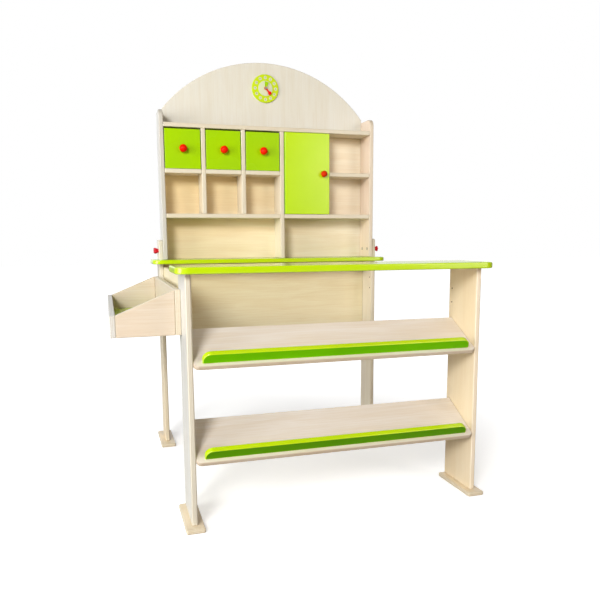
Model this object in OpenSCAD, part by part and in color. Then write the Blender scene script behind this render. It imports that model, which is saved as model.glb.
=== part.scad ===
// Toy market stall, built from flat boards: a hutch with drawers and a door on a rear counter,
// a front counter with two sloping display shelves, and a bin on the left side.
// +X to the right, +Y from the customer to the back, +Z up; sizes in millimetres.

/* [Boards] */
// Thickness of the structural boards
board_t = 12; // [10:0.5:15]
// Thickness of the hutch back and the bin floor
thin_t = 6; // [4:0.5:8]

/* [Frame] */
// Clear width between the legs, which is also the width of the hutch
inner_w = 640; // [620:1:720]
// Height of the rear counter's top above the floor
counter_z = 543; // [530:1:600]
// Clear walkway between the front and rear legs
aisle_d = 477; // [400:1:600]
// Depth of each front leg
front_leg_d = 120; // [110:1:150]
// Depth of each rear leg
rear_leg_d = 82; // [80:1:100]
// How far the rear legs stand behind the front of the hutch
rear_leg_setback = 6; // [2:1:10]
// How far the rear legs rise above the rear counter
tab_h = 56; // [45:1:80]
// Depth of the tab of a rear leg that passes through the rear counter
tab_d = 64; // [58:1:68]
// Rounding of the top corners of that tab
tab_corner_r = 8; // [2:1:14]

/* [Feet] */
// Width of a foot
foot_w = 40; // [30:1:60]
// Length of a foot
foot_l = 143; // [140:1:180]
// Thickness of a foot
foot_t = 10; // [8:0.5:15]
// How far a front foot reaches in front of its leg
front_foot_reach = 18; // [8:1:22]
// Rounding of the corners of a foot
foot_corner_r = 4; // [1:0.5:8]

/* [Counters] */
// Thickness of the rear counter
counter_t = 12; // [10:0.5:18]
// Thickness of the front counter, whose underside is level with that of the rear counter
front_counter_t = 14; // [10:0.5:18]
// How far the counters reach beyond the legs at each end
counter_overhang = 20; // [10:1:30]
// Rounding of the counter corners
counter_corner_r = 25; // [5:1:28]
// How far the front counter reaches in front of its legs
front_counter_reach = 28; // [20:1:40]
// How far the front counter reaches behind its legs
front_counter_tail = 2; // [0:1:10]
// How far the rear counter reaches in front of the hutch
rear_counter_reach = 34; // [20:1:60]

/* [Display shelves] */
// Slope of the display shelves
shelf_tilt = 29; // [25:1:32]
// Length of a display shelf down its slope
shelf_l = 129; // [110:1:130]
// Thickness of a display shelf
shelf_t = 10; // [9:0.5:12]
// Height of the back edge of the upper display shelf
upper_shelf_z = 409; // [390:1:411]
// Height of one display shelf above the other
shelf_pitch = 200; // [160:1:230]
// How far the back edge of a display shelf stands in front of the back of the legs
shelf_setback = 16; // [12:1:24]
// Rounding of the front corners of a display shelf
shelf_corner_r = 12; // [2:1:20]
// Height of the lip above its shelf
lip_h = 24; // [15:1:40]
// Thickness of the lip
lip_t = 12; // [8:0.5:15]
// Distance from each end of a shelf to the end of its lip
lip_inset = 18; // [10:1:60]
// Distance from the front edge of a shelf to the face of its lip
lip_setback = 8; // [6:1:30]
// Rounding of the upper corners of the lip
lip_corner_r = 18; // [2:1:20]

/* [Panels] */
// Height of the lower back panel
lower_back_h = 215; // [120:1:300]
// Height of the panel that joins the left legs
link_h = 110; // [95:1:118]
// How far that panel laps each leg
link_lap = 34; // [28:1:45]
// Distance from that panel's top edge to the counters
link_drop = 9; // [4:1:14]
// Distance from the edge of a leg to the panel's screws
link_hole_edge = 14; // [10:1:18]
// Height of the middle of the panel's two screws
link_hole_z = 462; // [455:1:466]
// Distance between the panel's two screws
link_hole_pitch = 33; // [28:1:40]
// Distance from the rear leg to the spare hole in the panel
spare_hole_reach = 57; // [40:1:100]
// Distance from the panel's top edge to the spare hole
spare_hole_drop = 33; // [15:1:40]

/* [Bin] */
// How far the bin stands out from the legs
bin_reach = 145; // [110:1:200]
// How far the bin laps each leg
bin_lap = 40; // [30:1:45]
// Height of the bin's lower edge
bin_base_z = 399; // [385:1:405]
// Height of the bin's back board
bin_back_h = 96; // [80:1:110]
// Height of the bin's outer board
bin_outer_h = 46; // [30:1:70]
// Height of the bin's floor above its lower edge
bin_floor_rise = 2.5; // [1:0.5:8]
// Height of the lower of the bin's screws above its lower edge
bin_screw_rise = 26; // [22:1:30]
// Height of the upper of the bin's screws above its lower edge
bin_screw_rise_upper = 63; // [60:1:66]

/* [Hutch] */
// Depth of the hutch
hutch_d = 80; // [76:1:90]
// Height of the open bays on the counter
base_bay_h = 117; // [90:1:150]
// Height of the open compartments
open_bay_h = 112; // [90:1:140]
// Height of the drawer compartments
drawer_bay_h = 113; // [100:1:140]
// Width of a drawer compartment
drawer_bay_w = 103; // [90:1:108]
// Width of the cupboard behind the door
door_bay_w = 130; // [110:1:140]
// How far the sides rise above the top shelf
side_rise = 36; // [25:1:60]
// Rounding of the front corner at the top of the sides
side_corner_r = 20; // [5:1:24]
// Thickness of the arched panel
arch_t = 9; // [7:0.5:12]
// Height of the ends of the arch above the sides
arch_shoulder = 8; // [0:1:20]
// Rise of the arch between its ends and its crown
arch_rise = 149; // [130:1:180]

/* [Drawers] */
// Number of drawers
drawer_count = 3; // [3:1:3]
// Gap on each side of a drawer
drawer_side_gap = 1.75; // [0.5:0.25:2.5]
// Gap above a drawer front
drawer_top_gap = 4.5; // [1:0.5:8]
// Thickness of the drawer sides and backs
drawer_wall_t = 6; // [5:0.5:8]
// Height of the drawer sides and backs
drawer_wall_h = 84; // [50:1:95]
// Thickness of the drawer bottoms
drawer_bottom_t = 4; // [3:0.5:5]
// Height of the drawer bottoms above the lower edge
drawer_bottom_rise = 4; // [2:0.5:8]
// Depth of the grooves that hold the drawer bottoms
groove_d = 2; // [1:0.5:3]
// Gap between a drawer and the hutch back
drawer_back_gap = 4; // [2:0.5:8]

/* [Door] */
// Gap around the door
door_gap = 0.8; // [0.5:0.1:1.5]
// How far the door laps the upright that it closes on
door_lap = 11; // [4:0.5:11]
// Gap between the closed door and that upright
door_stop_gap = 0.5; // [0.3:0.1:1]
// Radius of the pins that the door turns on
door_pin_r = 3; // [2:0.25:4]
// Length of pin in the door and in the shelf
door_pin_hold = 8; // [6:0.5:9]
// Distance from the free edge of the door to its knob
door_knob_edge = 20; // [14:1:30]

/* [Knobs] */
// Radius of the round knobs of the drawers
knob_r = 11; // [8:0.25:13]
// Radius of the smaller knob of the door
door_knob_r = 9.5; // [8:0.25:13]
// Radius of a knob's neck
knob_neck_r = 5.5; // [4.5:0.25:7]
// Length of a knob's neck from the panel to the ball
knob_neck_l = 2; // [1:0.5:4]
// Radius of the tenon that is glued into the panel
tenon_r = 4; // [2.5:0.25:4]
// Length of that tenon
tenon_l = 9; // [5:0.5:9]

/* [Clock] */
// Radius of the play clock
clock_r = 40.5; // [35:0.5:50]
// Thickness of the clock's ring
clock_t = 4; // [3:0.5:6]
// Radius of the pale face inside the ring
clock_face_r = 21.5; // [16:0.5:26]
// Thickness of the pale face
clock_face_t = 1.5; // [1:0.25:2]
// Distance from the crown of the arch to the middle of the clock
clock_drop = 73; // [60:1:85]
// Thickness of a hand
hand_t = 2; // [1.5:0.25:3]
// Gap between the hands and what they pass
hand_gap = 0.3; // [0.2:0.05:0.5]
// Length of the hour hand
hour_hand_l = 19; // [12:0.5:22]
// Half the width of the hour hand's wide end
hour_hand_half_w = 6; // [4:0.5:8]
// Length of the minute hand to the middle of its round end
minute_hand_l = 18; // [12:0.5:24]
// Radius of the minute hand's round end
minute_hand_tip_r = 5; // [3:0.5:7]
// Half the width of the minute hand's arm
minute_hand_half_w = 2; // [1:0.25:3]
// Radius of the hands' hubs
hand_hub_r = 4.5; // [3.5:0.25:6]
// Direction of the hour hand, clockwise from the top
hour_hand_angle = 12; // [0:1:359]
// Direction of the minute hand, clockwise from the top
minute_hand_angle = 138; // [0:1:359]
// Radius of the pin that the hands turn on
clock_pin_r = 2; // [1.5:0.1:3]
// Radius of that pin's head
clock_pin_head_r = 3.5; // [3:0.1:5]
// Thickness of that pin's head
clock_pin_head_t = 1.5; // [1:0.1:3]

/* [Fasteners] */
// Radius of a thumb screw's head
thumb_head_r = 8.5; // [6:0.25:10]
// Length of a thumb screw's head
thumb_head_l = 11; // [7:0.5:16]
// Radius of a thumb screw's shank
thumb_shank_r = 3; // [2:0.25:3.5]
// Outer radius of the threaded inserts in the hutch sides
insert_r = 4.5; // [4:0.25:6]
// Height of the thumb screws above the rear counter
thumb_z = 25; // [15:1:30]
// Distance of the front thumb screws from the front of a rear leg
thumb_edge = 9; // [8:1:12]
// Distance between the two thumb screws of a leg
thumb_pitch = 40; // [30:1:42]
// Radius of a wood screw
screw_r = 2; // [1.5:0.25:2.5]
// Radius of a wood screw's head
screw_head_r = 4; // [3:0.25:5]
// Length of a wood screw
screw_l = 20; // [16:0.5:21]
// Distance of a screw's head below the surface
screw_sink = 0.5; // [0.2:0.1:1]
// Radius of the dowels
dowel_r = 3; // [2:0.25:3.5]
// Length of a dowel in each of the two boards
dowel_hold = 8; // [5:0.5:9]

/* [Clearances] */
// Radial clearance of a pin, a screw or a dowel in its hole
running_gap = 0.05; // [0.02:0.01:0.1]
// Clearance between a drawer and the shelf that it runs on
drawer_floor_gap = 0.3; // [0.2:0.05:0.5]
// Clearance of a leg's tab in the slot of the rear counter
slot_gap = 0.2; // [0.1:0.05:0.5]

/* [Hidden] */
$fn = 64;
arch_fn = 240;
arc_steps = 10;
quarter = 90;
overrun = 1;
wood = "burlywood";
lime = "yellowgreen";
red = "crimson";
pale = "cornsilk";
steel = "silver";
// Places of paired screws and dowels along a leg, a board's depth and a shelf's slope
pair_shares = [0.25, 0.75];
half_share = 0.5;

// Across the stall
outer_x = [-board_t, inner_w + board_t];
leg_x = [-board_t, inner_w];
side_x = [0, inner_w - board_t];
bin_x = outer_x[0] - bin_reach;
bay_step = drawer_bay_w + board_t;
drawer_divider_x = [for (i = [1:drawer_count - 1]) i * bay_step];
centre_x = drawer_count * bay_step;
cupboard_x = centre_x + board_t;
door_divider_x = cupboard_x + door_bay_w;
hutch_inner_x = [board_t, inner_w - board_t];

// From the front to the back
rear_leg_y = rear_leg_setback;
rear_back_y = rear_leg_y + rear_leg_d;
front_back_y = rear_leg_y - aisle_d;
front_leg_y = front_back_y - front_leg_d;
front_counter_y = [front_leg_y - front_counter_reach, front_back_y + front_counter_tail];
rear_counter_y = [-rear_counter_reach, rear_back_y];
front_foot_y = front_leg_y - front_foot_reach;
rear_foot_y = rear_leg_y + half_share * (rear_leg_d - foot_l);
bin_y = [front_back_y - bin_lap, rear_leg_y + bin_lap];
link_y = [front_back_y - link_lap, rear_leg_y + link_lap];
link_hole_y = [front_back_y - link_hole_edge, rear_leg_y + link_hole_edge];
shelf_y = front_back_y - shelf_setback;
back_y = hutch_d - thin_t;
arch_y = hutch_d - arch_t;
thumb_y = [for (i = [0:1]) rear_leg_y + thumb_edge + i * thumb_pitch];

// Upwards
counter_under_z = counter_z - counter_t;
tab_top_z = counter_z + tab_h;
bottom_shelf_z = counter_z + base_bay_h;
open_bay_z = bottom_shelf_z + board_t;
drawer_shelf_z = open_bay_z + open_bay_h;
drawer_bay_z = drawer_shelf_z + board_t;
top_shelf_z = drawer_bay_z + drawer_bay_h;
side_foot_z = top_shelf_z + board_t;
side_top_z = side_foot_z + side_rise;
arch_end_z = side_top_z + arch_shoulder;
arch_top_z = arch_end_z + arch_rise;
clock_z = arch_top_z - clock_drop;
clock_x = half_share * inner_w;
link_top_z = counter_under_z - link_drop;
link_hole_zs = [for (s = [-half_share, half_share]) link_hole_z + s * link_hole_pitch];
bin_screw_zs = [bin_base_z + bin_screw_rise, bin_base_z + bin_screw_rise_upper];
display_shelf_zs = [upper_shelf_z, upper_shelf_z - shelf_pitch];

// The arch is a circle through its crown and its two ends
arch_half_w = half_share * (hutch_inner_x[1] - hutch_inner_x[0]);
arch_r = (arch_half_w * arch_half_w + arch_rise * arch_rise) / (arch_rise + arch_rise);

// The clock's layers, counted forwards from the face of the arch
face_y = arch_y - clock_t - clock_face_t;
hour_y = face_y - hand_gap - hand_t;
minute_y = hour_y - hand_gap - hand_t;
pin_head_y = minute_y - hand_gap - clock_pin_head_t;

// The door turns about the middle of its rounded edge
door_z = [open_bay_z + door_gap, top_shelf_z - door_gap];
door_axis_x = cupboard_x + door_gap + half_share * board_t;
door_axis_y = half_share * board_t;
door_free_x = door_divider_x + door_lap;
door_knob_x = door_free_x - door_knob_edge;
door_knob_z = half_share * (door_z[0] + door_z[1]);

// The origin is the middle of the footprint, on the floor
span_x = [bin_x, outer_x[1] + counter_overhang];
span_y = [min(front_counter_y[0], front_foot_y), max(rear_back_y, rear_foot_y + foot_l)];
middle = [half_share * (span_x[0] + span_x[1]), half_share * (span_y[0] + span_y[1]), 0];

// Boards: an outline drawn in the plane of the board and given its thickness.

module across(x, t) { translate([x, 0, 0]) rotate([quarter, 0, quarter]) linear_extrude(t) children(); }
module facing(y, t) { translate([0, y + t, 0]) rotate([quarter, 0, 0]) linear_extrude(t) children(); }
module level(z, t) { translate([0, 0, z]) linear_extrude(t) children(); }

module block(low, high) { translate(low) cube(high - low); }

function arc(centre, r, start) = r == 0
    ? [centre]
    : [for (i = [0:arc_steps]) centre + r * [cos(start + i * quarter / arc_steps), sin(start + i * quarter / arc_steps)]];

// Rectangle from low to high with its own radius at each corner, counted anticlockwise from low
module outline(low, high, radii) {
    polygon(concat(
        arc([low.x + radii[0], low.y + radii[0]], radii[0], 2 * quarter),
        arc([high.x - radii[1], low.y + radii[1]], radii[1], 3 * quarter),
        arc([high.x - radii[2], high.y - radii[2]], radii[2], 0),
        arc([low.x + radii[3], high.y - radii[3]], radii[3], quarter)));
}

// A round rod along X, Y or Z that starts at the given point
module rod_x(start, l, r) { translate(start) rotate([0, quarter, 0]) cylinder(h = l, r = r); }
module rod_y(start, l, r) { translate(start) rotate([-quarter, 0, 0]) cylinder(h = l, r = r); }
module rod_z(start, l, r) { translate(start) cylinder(h = l, r = r); }

module place() { translate(-middle) children(); }

// Fasteners: each module draws one fastener, or its hole when given a clearance.

// A countersunk wood screw along +Z, with the surface that it is sunk in at z = 0
module screw(gap = 0) {
    head_h = screw_head_r - screw_r;
    end = gap > 0 ? overrun : 0;
    if (gap > 0) translate([0, 0, -overrun]) cylinder(h = screw_sink + overrun, r = screw_head_r + gap);
    translate([0, 0, screw_sink]) cylinder(h = head_h, r1 = screw_head_r + gap, r2 = screw_r + gap);
    translate([0, 0, screw_sink]) cylinder(h = screw_l + end, r = screw_r + gap);
}

// The two screws of a foot, driven up into the end of the leg
module foot_screws(x, leg_y, leg_d, gap = 0) {
    for (s = pair_shares) translate([x + half_share * board_t, leg_y + s * leg_d, 0]) screw(gap);
}

// The screws of the connecting panel, driven outwards into the left legs
module link_screws(gap = 0) {
    for (y = link_hole_y, z = link_hole_zs) translate([board_t, y, z]) rotate([0, -quarter, 0]) screw(gap);
}

// The screws of the bin, driven from inside it into the left legs
module bin_screws(gap = 0) {
    for (y = link_hole_y, z = bin_screw_zs)
        translate([outer_x[0] - board_t, y, z]) rotate([0, quarter, 0]) screw(gap);
}

// Dowels that stand in the joint of two boards, given the point in the joint
module dowel_x(point, gap = 0) { rod_x(point - [dowel_hold + gap, 0, 0], 2 * (dowel_hold + gap), dowel_r + gap); }
module dowel_z(point, gap = 0) { rod_z(point - [0, 0, dowel_hold + gap], 2 * (dowel_hold + gap), dowel_r + gap); }

module counter_dowels(x, gap = 0) {
    for (s = pair_shares)
        dowel_z([x + half_share * board_t, front_leg_y + s * front_leg_d, counter_under_z], gap);
}

module shelf_dowels(x, gap = 0) {
    for (z = display_shelf_zs) on_slope(z)
        for (s = pair_shares) dowel_x([x, -s * shelf_l, -half_share * shelf_t], gap);
}

module lower_back_dowels(x, gap = 0) {
    for (s = pair_shares)
        dowel_x([x, rear_back_y - half_share * board_t, counter_under_z - s * lower_back_h], gap);
}

module hutch_dowels(x, gap = 0) {
    for (z = [bottom_shelf_z, top_shelf_z], s = pair_shares)
        dowel_x([x, s * back_y, z + half_share * board_t], gap);
}

// Frame: legs, feet, counters and the panels that brace them.

// Spare or used holes for the connecting panel, right through a leg
module link_bores(x, y) {
    for (z = link_hole_zs) rod_x([x - overrun, y, z], board_t + 2 * overrun, screw_r + running_gap);
}

module rear_leg(i) {
    color(wood) difference() {
        across(leg_x[i], board_t) {
            outline([rear_leg_y, foot_t], [rear_back_y, counter_under_z], [0, 0, 0, 0]);
            outline([rear_leg_y, foot_t], [rear_leg_y + tab_d, tab_top_z], [0, 0, tab_corner_r, tab_corner_r]);
        }
        for (y = thumb_y) rod_x([leg_x[i] - overrun, y, counter_z + thumb_z], board_t + 2 * overrun,
                                thumb_shank_r + running_gap);
        link_bores(leg_x[i], link_hole_y[1]);
        if (i == 0) bin_screws(running_gap);
        foot_screws(leg_x[i], rear_leg_y, rear_leg_d, running_gap);
        lower_back_dowels(i * inner_w, running_gap);
    }
}

module front_leg(i) {
    color(wood) difference() {
        across(leg_x[i], board_t)
            outline([front_leg_y, foot_t], [front_back_y, counter_under_z], [0, 0, 0, 0]);
        link_bores(leg_x[i], link_hole_y[0]);
        if (i == 0) bin_screws(running_gap);
        foot_screws(leg_x[i], front_leg_y, front_leg_d, running_gap);
        counter_dowels(leg_x[i], running_gap);
        shelf_dowels(i * inner_w, running_gap);
    }
}

module foot(i, foot_y, leg_y, leg_d) {
    middle_x = leg_x[i] + half_share * board_t;
    r = foot_corner_r;
    color(wood) difference() {
        level(0, foot_t)
            outline([middle_x - half_share * foot_w, foot_y], [middle_x + half_share * foot_w, foot_y + foot_l], [r, r, r, r]);
        foot_screws(leg_x[i], leg_y, leg_d, running_gap);
    }
}

module counter_outline(y) {
    r = counter_corner_r;
    outline([outer_x[0] - counter_overhang, y[0]], [outer_x[1] + counter_overhang, y[1]], [r, r, r, r]);
}

module rear_counter() {
    slot = [slot_gap, slot_gap, overrun];
    color(lime) difference() {
        level(counter_under_z, counter_t) counter_outline(rear_counter_y);
        for (x = leg_x)
            block([x, rear_leg_y, counter_under_z] - slot, [x + board_t, rear_leg_y + tab_d, counter_z] + slot);
    }
}

module front_counter() {
    color(lime) difference() {
        level(counter_under_z, front_counter_t) counter_outline(front_counter_y);
        for (x = leg_x) counter_dowels(x, running_gap);
    }
}

module lower_back_panel() {
    color(wood) difference() {
        facing(rear_back_y - board_t, board_t)
            outline([0, counter_under_z - lower_back_h], [inner_w, counter_under_z], [0, 0, 0, 0]);
        for (x = [0, inner_w]) lower_back_dowels(x, running_gap);
    }
}

module connecting_panel() {
    color(wood) difference() {
        across(0, board_t) outline([link_y[0], link_top_z - link_h], [link_y[1], link_top_z], [0, 0, 0, 0]);
        link_screws(running_gap);
        rod_x([-overrun, rear_leg_y - spare_hole_reach, link_top_z - spare_hole_drop],
              board_t + 2 * overrun, screw_r);
    }
}

// Display shelves: drawn level with the back edge at y = 0, then sloped down to the front.

module on_slope(z) { translate([0, shelf_y, z]) rotate([shelf_tilt, 0, 0]) children(); }

module display_shelf(z) {
    r = shelf_corner_r;
    color(wood) difference() {
        on_slope(z) level(-shelf_t, shelf_t) outline([0, -shelf_l], [inner_w, 0], [r, r, 0, 0]);
        for (x = [0, inner_w]) shelf_dowels(x, running_gap);
    }
}

module shelf_lip(z) {
    r = lip_corner_r;
    color(lime) on_slope(z) facing(lip_setback - shelf_l, lip_t)
        outline([lip_inset, 0], [inner_w - lip_inset, lip_h], [0, 0, r, r]);
}

// Bin: four boards and a floor, screwed to the outside of the left legs.

bin_inner_x = [bin_x + board_t, outer_x[0] - board_t];

module bin_back_board() {
    color(wood) difference() {
        across(bin_inner_x[1], board_t)
            outline([bin_y[0], bin_base_z], [bin_y[1], bin_base_z + bin_back_h], [0, 0, 0, 0]);
        bin_screws(running_gap);
    }
}

module bin_outer_board() {
    color(wood) across(bin_x, board_t)
        outline([bin_y[0], bin_base_z], [bin_y[1], bin_base_z + bin_outer_h], [0, 0, 0, 0]);
}

module bin_sides() {
    color(wood) for (y = [bin_y[0], bin_y[1] - board_t])
        facing(y, board_t) polygon([
            [bin_inner_x[0], bin_base_z],
            [bin_inner_x[1], bin_base_z],
            [bin_inner_x[1], bin_base_z + bin_back_h],
            [bin_inner_x[0], bin_base_z + bin_outer_h]]);
}

module bin_floor() {
    color(lime) level(bin_base_z + bin_floor_rise, thin_t)
        outline([bin_inner_x[0], bin_y[0] + board_t], [bin_inner_x[1], bin_y[1] - board_t], [0, 0, 0, 0]);
}

// Hutch: sides, shelves, dividers, back and arch.

module hutch_side(i) {
    color(wood) difference() {
        across(side_x[i], board_t)
            outline([0, counter_z], [hutch_d, side_top_z], [0, 0, 0, side_corner_r]);
        for (y = thumb_y)
            rod_x([side_x[i] - overrun, y, counter_z + thumb_z], board_t + 2 * overrun, insert_r + running_gap);
        hutch_dowels(hutch_inner_x[i], running_gap);
    }
}

module shelf_board(x, z, depth) { level(z, board_t) outline([x[0], 0], [x[1], depth], [0, 0, 0, 0]); }

module door_pin(z, gap = 0) {
    rod_z([door_axis_x, door_axis_y, z - door_pin_hold - gap], 2 * (door_pin_hold + gap), door_pin_r + gap);
}

module top_shelf() {
    color(wood) difference() {
        shelf_board(hutch_inner_x, top_shelf_z, hutch_d);
        for (x = hutch_inner_x) hutch_dowels(x, running_gap);
        door_pin(top_shelf_z, running_gap);
    }
}

module bottom_shelf(i) {
    x = i == 0 ? [hutch_inner_x[0], centre_x] : [cupboard_x, hutch_inner_x[1]];
    color(wood) difference() {
        shelf_board(x, bottom_shelf_z, back_y);
        hutch_dowels(hutch_inner_x[i], running_gap);
        if (i == 1) door_pin(open_bay_z, running_gap);
    }
}

module drawer_shelves() {
    color(wood) for (i = [0:drawer_count - 1])
        shelf_board([board_t, bay_step] + [1, 1] * i * bay_step, drawer_shelf_z, back_y);
}

module side_shelf() {
    color(wood) shelf_board([door_divider_x + board_t, hutch_inner_x[1]], drawer_shelf_z, back_y);
}

module upright(x, y, z) {
    color(wood) across(x, board_t) outline([y[0], z[0]], [y[1], z[1]], [0, 0, 0, 0]);
}

module drawer_divider(i) { upright(drawer_divider_x[i], [0, back_y], [open_bay_z, top_shelf_z]); }
module centre_divider() { upright(centre_x, [0, back_y], [counter_z, top_shelf_z]); }
module door_divider() { upright(door_divider_x, [board_t + door_stop_gap, back_y], [open_bay_z, top_shelf_z]); }

module hutch_back() {
    color(wood) facing(back_y, thin_t)
        outline([hutch_inner_x[0], counter_z], [hutch_inner_x[1], top_shelf_z], [0, 0, 0, 0]);
}

module arch_panel() {
    color(wood) difference() {
        facing(arch_y, arch_t) intersection() {
            outline([hutch_inner_x[0], side_foot_z], [hutch_inner_x[1], arch_top_z + overrun], [0, 0, 0, 0]);
            translate([clock_x, arch_top_z - arch_r]) circle(r = arch_r, $fn = arch_fn);
        }
        clock_pin_bore();
    }
}

// Knobs: a ball on a short neck, with a tenon that is glued into the panel behind it.

module knob(x, z, r) {
    ball_y = -knob_neck_l - sqrt(r * r - knob_neck_r * knob_neck_r);
    color(red) translate([x, 0, z]) {
        translate([0, ball_y, 0]) sphere(r = r);
        rod_y([0, ball_y, 0], -ball_y, knob_neck_r);
        rod_y([0, ball_y, 0], tenon_l - ball_y, tenon_r);
    }
}

module tenon_bore(x, z) { rod_y([x, -overrun, z], tenon_l + running_gap + overrun, tenon_r + running_gap); }

// Drawers: a front, two sides, a back and a bottom that is held in grooves.

drawer_z = drawer_bay_z + drawer_floor_gap;
drawer_back_y = back_y - drawer_back_gap;
drawer_bottom_z = drawer_z + drawer_bottom_rise;
drawer_front_z = [drawer_z, top_shelf_z - drawer_top_gap];
drawer_knob_z = half_share * (drawer_front_z[0] + drawer_front_z[1]);

function drawer_x(i) = [board_t + drawer_side_gap, bay_step - drawer_side_gap] + [1, 1] * i * bay_step;
function drawer_middle(i) = half_share * (drawer_x(i)[0] + drawer_x(i)[1]);

module drawer_bottom_block(i) {
    x = drawer_x(i) + [1, -1] * (drawer_wall_t - groove_d);
    block([x[0], board_t - groove_d, drawer_bottom_z],
          [x[1], drawer_back_y - drawer_wall_t + groove_d, drawer_bottom_z + drawer_bottom_t]);
}

module drawer_front(i) {
    x = drawer_x(i);
    color(lime) difference() {
        facing(0, board_t) outline([x[0], drawer_front_z[0]], [x[1], drawer_front_z[1]], [0, 0, 0, 0]);
        drawer_bottom_block(i);
        tenon_bore(drawer_middle(i), drawer_knob_z);
    }
}

module drawer_sides(i) {
    x = drawer_x(i);
    color(wood) difference() {
        for (left = [x[0], x[1] - drawer_wall_t])
            block([left, board_t, drawer_z], [left + drawer_wall_t, drawer_back_y, drawer_z + drawer_wall_h]);
        drawer_bottom_block(i);
    }
}

module drawer_back(i) {
    x = drawer_x(i) + [1, -1] * drawer_wall_t;
    color(wood) difference() {
        block([x[0], drawer_back_y - drawer_wall_t, drawer_z], [x[1], drawer_back_y, drawer_z + drawer_wall_h]);
        drawer_bottom_block(i);
    }
}

module drawer_bottom(i) { color(wood) drawer_bottom_block(i); }
module drawer_knob(i) { knob(drawer_middle(i), drawer_knob_z, knob_r); }

// Door: its hinge edge is a half round about the pins.

module door_panel() {
    r = half_share * board_t;
    color(lime) difference() {
        level(door_z[0], door_z[1] - door_z[0])
            outline([door_axis_x - r, 0], [door_free_x, board_t], [r, 0, 0, r]);
        door_pin(open_bay_z, running_gap);
        door_pin(top_shelf_z, running_gap);
        tenon_bore(door_knob_x, door_knob_z);
    }
}

module door_knob() { knob(door_knob_x, door_knob_z, door_knob_r); }

module door_pins() {
    color(wood) {
        door_pin(open_bay_z);
        door_pin(top_shelf_z);
    }
}

// Play clock: a ring and a pale face on the arch, and two hands on one pin.

module clock_pin_bore() {
    rod_y([clock_x, face_y - overrun, clock_z], hutch_d - face_y + 2 * overrun, clock_pin_r + running_gap);
}

module clock_ring() {
    color(lime) difference() {
        rod_y([clock_x, arch_y - clock_t, clock_z], clock_t, clock_r);
        clock_pin_bore();
    }
}

module clock_face() {
    color(pale) difference() {
        rod_y([clock_x, face_y, clock_z], clock_face_t, clock_face_r);
        clock_pin_bore();
    }
}

module clock_pin() {
    color(steel) {
        rod_y([clock_x, pin_head_y, clock_z], hutch_d - pin_head_y, clock_pin_r);
        rod_y([clock_x, pin_head_y, clock_z], clock_pin_head_t, clock_pin_head_r);
    }
}

// A hand drawn pointing up, turned clockwise, with the hole for the pin
module hand(y, angle) {
    translate([clock_x, 0, clock_z]) rotate([0, angle, 0]) facing(y, hand_t) difference() {
        union() {
            circle(r = hand_hub_r);
            children();
        }
        circle(r = clock_pin_r + running_gap);
    }
}

module hour_hand() {
    color(lime) hand(hour_y, hour_hand_angle) polygon([
        [-minute_hand_half_w, 0], [minute_hand_half_w, 0],
        [hour_hand_half_w, hour_hand_l], [-hour_hand_half_w, hour_hand_l]]);
}

module minute_hand() {
    color(red) hand(minute_y, minute_hand_angle) {
        outline([-minute_hand_half_w, 0], [minute_hand_half_w, minute_hand_l], [0, 0, 0, 0]);
        translate([0, minute_hand_l]) circle(r = minute_hand_tip_r);
    }
}

// Hardware: thumb screws through the rear legs into inserts in the hutch sides.

// Half the outline of a thumb screw: a head with a rounded rim, then the shank
module thumb_profile() {
    rim_r = half_share * half_share * thumb_head_r;
    shank_l = 2 * board_t;
    polygon(concat(
        [[0, -thumb_head_l]],
        arc([thumb_head_r - rim_r, rim_r - thumb_head_l], rim_r, 3 * quarter),
        [[thumb_head_r, 0], [thumb_shank_r, 0], [thumb_shank_r, shank_l], [0, shank_l]]));
}

module thumb_screws() {
    color(red) for (i = [0, 1], y = thumb_y)
        translate([outer_x[i], y, counter_z + thumb_z]) rotate([0, i == 0 ? quarter : -quarter, 0])
            rotate_extrude() thumb_profile();
}

module threaded_inserts() {
    color(steel) for (i = [0, 1], y = thumb_y) difference() {
        rod_x([side_x[i], y, counter_z + thumb_z], board_t, insert_r);
        rod_x([side_x[i] - overrun, y, counter_z + thumb_z], board_t + 2 * overrun, thumb_shank_r + running_gap);
    }
}

module wood_screws() {
    color(steel) {
        for (x = leg_x) {
            foot_screws(x, rear_leg_y, rear_leg_d);
            foot_screws(x, front_leg_y, front_leg_d);
        }
        link_screws();
        bin_screws();
    }
}

module dowels() {
    color(pale) {
        for (i = [0, 1]) {
            counter_dowels(leg_x[i]);
            shelf_dowels(i * inner_w);
            lower_back_dowels(i * inner_w);
            hutch_dowels(hutch_inner_x[i]);
        }
    }
}

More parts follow.
